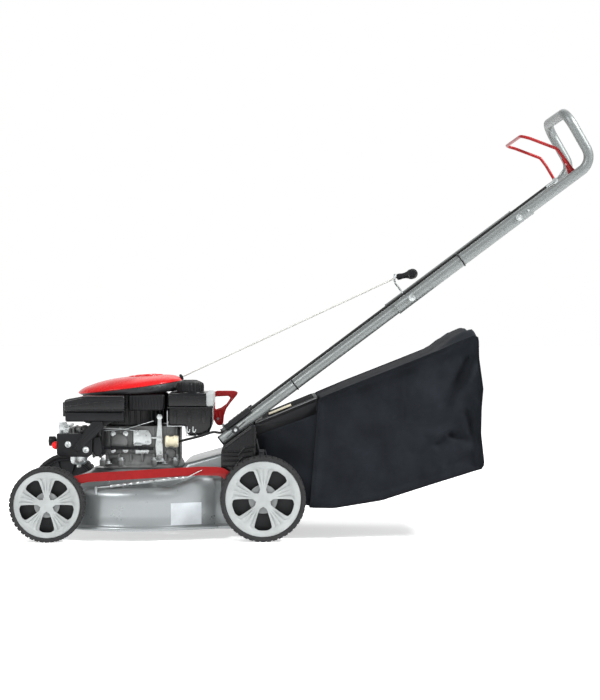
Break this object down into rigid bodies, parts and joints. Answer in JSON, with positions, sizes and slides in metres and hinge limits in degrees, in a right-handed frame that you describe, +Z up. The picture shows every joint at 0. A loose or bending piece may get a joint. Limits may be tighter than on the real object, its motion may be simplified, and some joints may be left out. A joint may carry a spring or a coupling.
{
  "type": "push lawn mower",
  "caption": "Petrol push lawn mower with a pressed steel deck, spoked wheels, a folding tube handle with a brake bail and a rear fabric grass bag.",
  "frame": {"origin": "on the ground under the middle of the object's box", "axes": "+Z up, +X to the rear where the operator walks, -Y the mower's left side"},
  "size_m": [1.3732, 0.47, 1.0219],
  "materials": {
    "deck_steel": "gloss",
    "handle_steel": "gloss",
    "black_plastic": "satin",
    "tank_plastic": "satin",
    "grey_plastic": "matte",
    "tyre_rubber": "matte",
    "wheel_cover": "satin",
    "red_paint": "gloss",
    "red_plastic": "gloss",
    "red_rubber": "satin",
    "zinc": "satin",
    "cast_aluminium": "matte",
    "cream_plastic": "satin",
    "dark_steel": "satin",
    "cast_iron": "matte",
    "bag_fabric": "matte",
    "rope_fibre": "matte",
    "cable_sheath": "satin"
  },
  "bodies": {
    "chassis": {"deck": "deck_steel", "bracket_left": "black_plastic", "bracket_right": "black_plastic", "pivot_bolt_left": "zinc", "pivot_bolt_right": "zinc", "height_spring": "zinc", "engine_base": "cast_aluminium", "crankcase": "cast_aluminium", "cylinder": "cast_aluminium", "spark_plug": "black_plastic", "blower_housing": "grey_plastic", "top_cover": "red_plastic", "fuel_tank": "tank_plastic", "air_filter_base": "black_plastic", "air_filter_lid": "black_plastic", "carburettor_cover": "black_plastic", "carburettor": "zinc", "muffler": "cast_aluminium", "engine_strap": "zinc", "governor_plate": "zinc", "control_rod": "dark_steel", "brake_cover": "cream_plastic", "starter_rope": "rope_fibre"},
    "rear_axle": {"rear_axle": "zinc", "height_lever": "zinc", "lever_grip": "red_plastic"},
    "front_axle": {"front_axle": "zinc"},
    "link_bar": {"link_bar": "red_paint"},
    "crank": {"crankshaft": "dark_steel", "flywheel": "cast_iron", "blade": "dark_steel", "blade_bolt": "zinc"},
    "flap": {"rear_flap": "grey_plastic"},
    "handle": {"lower_tube_left": "handle_steel", "lower_tube_right": "handle_steel", "middle_tube_left": "handle_steel", "middle_tube_right": "handle_steel", "top_loop": "handle_steel", "handle_clamp_left": "black_plastic", "handle_clamp_right": "black_plastic", "rope_guide": "zinc", "brake_cable": "cable_sheath"},
    "bail": {"brake_bail": "red_paint"},
    "starter_grip": {"starter_grip": "black_plastic"},
    "bag": {"grass_bag": "bag_fabric", "bag_mouth_frame": "black_plastic"},
    "fuel_cap": {"fuel_cap": "black_plastic"},
    "primer": {"primer_bulb": "red_rubber"},
    "wheel_front_left": {"tyre_front_left": "tyre_rubber", "wheel_core_front_left": "black_plastic", "hubcap_front_left": "wheel_cover"},
    "wheel_front_right": {"tyre_front_right": "tyre_rubber", "wheel_core_front_right": "black_plastic", "hubcap_front_right": "wheel_cover"},
    "wheel_rear_left": {"tyre_rear_left": "tyre_rubber", "wheel_core_rear_left": "black_plastic", "hubcap_rear_left": "wheel_cover"},
    "wheel_rear_right": {"tyre_rear_right": "tyre_rubber", "wheel_core_rear_right": "black_plastic", "hubcap_rear_right": "wheel_cover"}
  },
  "joints": [
    {"name": "height_adjust", "type": "hinge", "parent": "chassis", "child": "rear_axle", "pos_m": [-0.15156, 0, 0.075], "axis": [0, 1, 0], "range_deg": [0, 45], "deforming": ["height_spring"]},
    {"name": "front_height", "type": "hinge", "parent": "chassis", "child": "front_axle", "pos_m": [-0.65356, 0, 0.0625], "axis": [0, 1, 0], "range_deg": [0, 45]},
    {"name": "link_swing", "type": "hinge", "parent": "rear_axle", "child": "link_bar", "pos_m": [-0.15956, -0.181, 0.13], "axis": [0, 1, 0], "range_deg": [-45, 0]},
    {"name": "handle_fold", "type": "hinge", "parent": "chassis", "child": "handle", "pos_m": [-0.16206, 0, 0.257], "axis": [0, -1, 0], "range_deg": [0, 103], "deforming": ["brake_cable", "starter_rope"]},
    {"name": "bail_squeeze", "type": "hinge", "parent": "handle", "child": "bail", "pos_m": [0.63994, 0, 0.868], "axis": [0, 1, 0], "range_deg": [0, 38], "stiffness_Nm_per_rad": 0.8, "springref_deg": -20.05},
    {"name": "starter_pull", "type": "slide", "parent": "handle", "child": "starter_grip", "axis": [0.8001, 0, 0.5999], "range_m": [0, 0.3], "stiffness_N_per_m": 20, "springref_m": -0.08},
    {"name": "crank_spin", "type": "hinge", "parent": "chassis", "child": "crank", "pos_m": [-0.39706, 0, 0.06], "axis": [0, 0, 1], "continuous": true},
    {"name": "flap_lift", "type": "hinge", "parent": "chassis", "child": "flap", "pos_m": [-0.11106, 0, 0.268], "axis": [0, -1, 0], "range_deg": [0, 60]},
    {"name": "bag_lift", "type": "slide", "parent": "chassis", "child": "bag", "axis": [0.9397, 0, 0.342], "range_m": [0, 0.3]},
    {"name": "fuel_cap_lift", "type": "slide", "parent": "chassis", "child": "fuel_cap", "axis": [0, 0, 1], "range_m": [0, 0.04]},
    {"name": "primer_press", "type": "slide", "parent": "chassis", "child": "primer", "axis": [1, 0, 0], "range_m": [0, 0.006], "stiffness_N_per_m": 300, "deforming": ["primer_bulb"]},
    {"name": "wheel_spin_front_left", "type": "hinge", "parent": "front_axle", "child": "wheel_front_left", "pos_m": [-0.59906, -0.2125, 0.0875], "axis": [0, 1, 0], "continuous": true},
    {"name": "wheel_spin_front_right", "type": "hinge", "parent": "front_axle", "child": "wheel_front_right", "pos_m": [-0.59906, 0.2125, 0.0875], "axis": [0, 1, 0], "continuous": true},
    {"name": "wheel_spin_rear_left", "type": "hinge", "parent": "rear_axle", "child": "wheel_rear_left", "pos_m": [-0.09706, -0.2125, 0.1], "axis": [0, 1, 0], "continuous": true},
    {"name": "wheel_spin_rear_right", "type": "hinge", "parent": "rear_axle", "child": "wheel_rear_right", "pos_m": [-0.09706, 0.2125, 0.1], "axis": [0, 1, 0], "continuous": true}
  ],
  "couplings": [
    {"joint": "front_height", "follows": "height_adjust", "ratio": 1},
    {"joint": "link_swing", "follows": "height_adjust", "ratio": -1}
  ]
}
